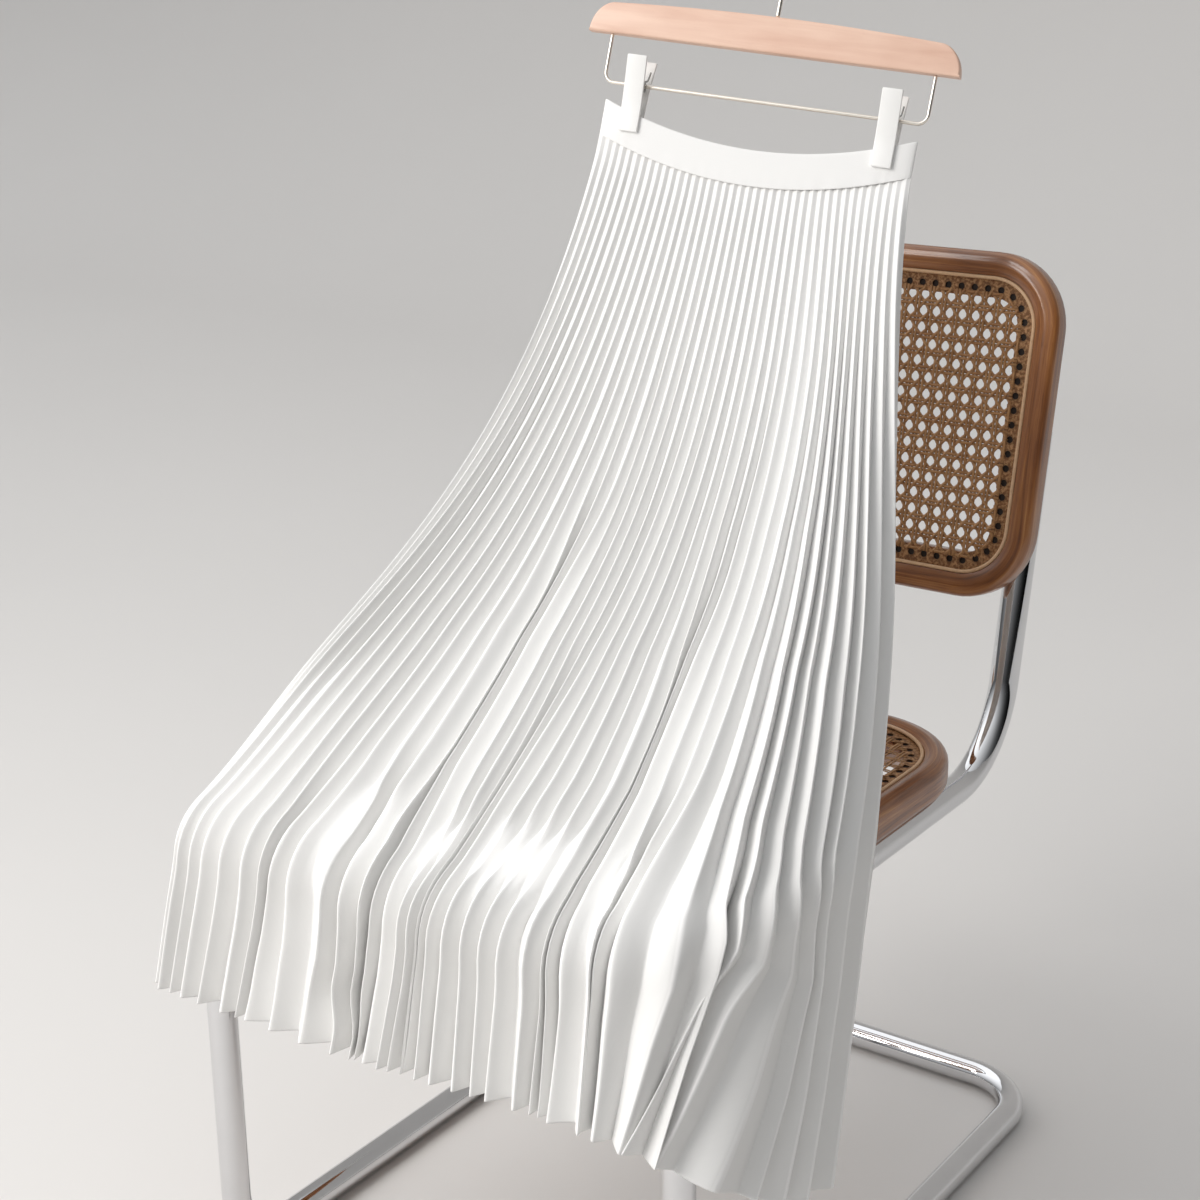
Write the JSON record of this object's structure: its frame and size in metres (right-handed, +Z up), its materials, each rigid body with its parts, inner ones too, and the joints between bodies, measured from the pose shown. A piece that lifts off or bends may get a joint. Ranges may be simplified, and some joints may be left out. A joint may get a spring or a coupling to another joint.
{
  "type": "pleated midi skirt on a clip hanger laid over a cane chair",
  "caption": "Long white sunray-pleated skirt with an elastic waistband, clipped to a wooden hanger and draped over the seat of a tubular cantilever chair with cane panels.",
  "frame": {"origin": "bottom centre of the box round the whole: on the floor, under its middle", "axes": "+Z up, +Y towards the back of the chair, +X to the sitter's left, the side the skirt falls over"},
  "size_m": [0.552, 0.7298, 1.102],
  "materials": {
    "pleated_cloth": "off-white polyester, heat-set pleats, soft sheen",
    "waistband_elastic": "bright white covered elastic, smooth and matte",
    "beech": "pale beech under satin lacquer",
    "steel_wire": "plated wire, bright",
    "clip_plastic": "white moulded plastic, satin",
    "chrome_tube": "polished chrome plate",
    "stained_wood": "red-brown stain under satin lacquer, open grain",
    "woven_cane": "hand-woven octagonal cane, aged tan"
  },
  "bodies": {
    "root": {"skirt_front": "pleated_cloth", "skirt_back": "pleated_cloth", "waistband": "waistband_elastic", "hanger_bar": "beech", "hanger_hook": "steel_wire", "hanger_wire": "steel_wire", "clip_left_front": "clip_plastic", "clip_left_back": "clip_plastic", "clip_left_spring": "steel_wire", "clip_right_front": "clip_plastic", "clip_right_back": "clip_plastic", "clip_right_spring": "steel_wire", "leg_left": "chrome_tube", "leg_right": "chrome_tube", "seat_rail_left": "chrome_tube", "seat_rail_right": "chrome_tube", "upright_left": "chrome_tube", "upright_right": "chrome_tube", "floor_runner_left": "chrome_tube", "floor_runner_right": "chrome_tube", "floor_bar_rear": "chrome_tube", "seat_frame": "stained_wood", "backrest_frame": "stained_wood", "seat_cane": "woven_cane", "backrest_cane": "woven_cane"}
  },
  "joints": []
}
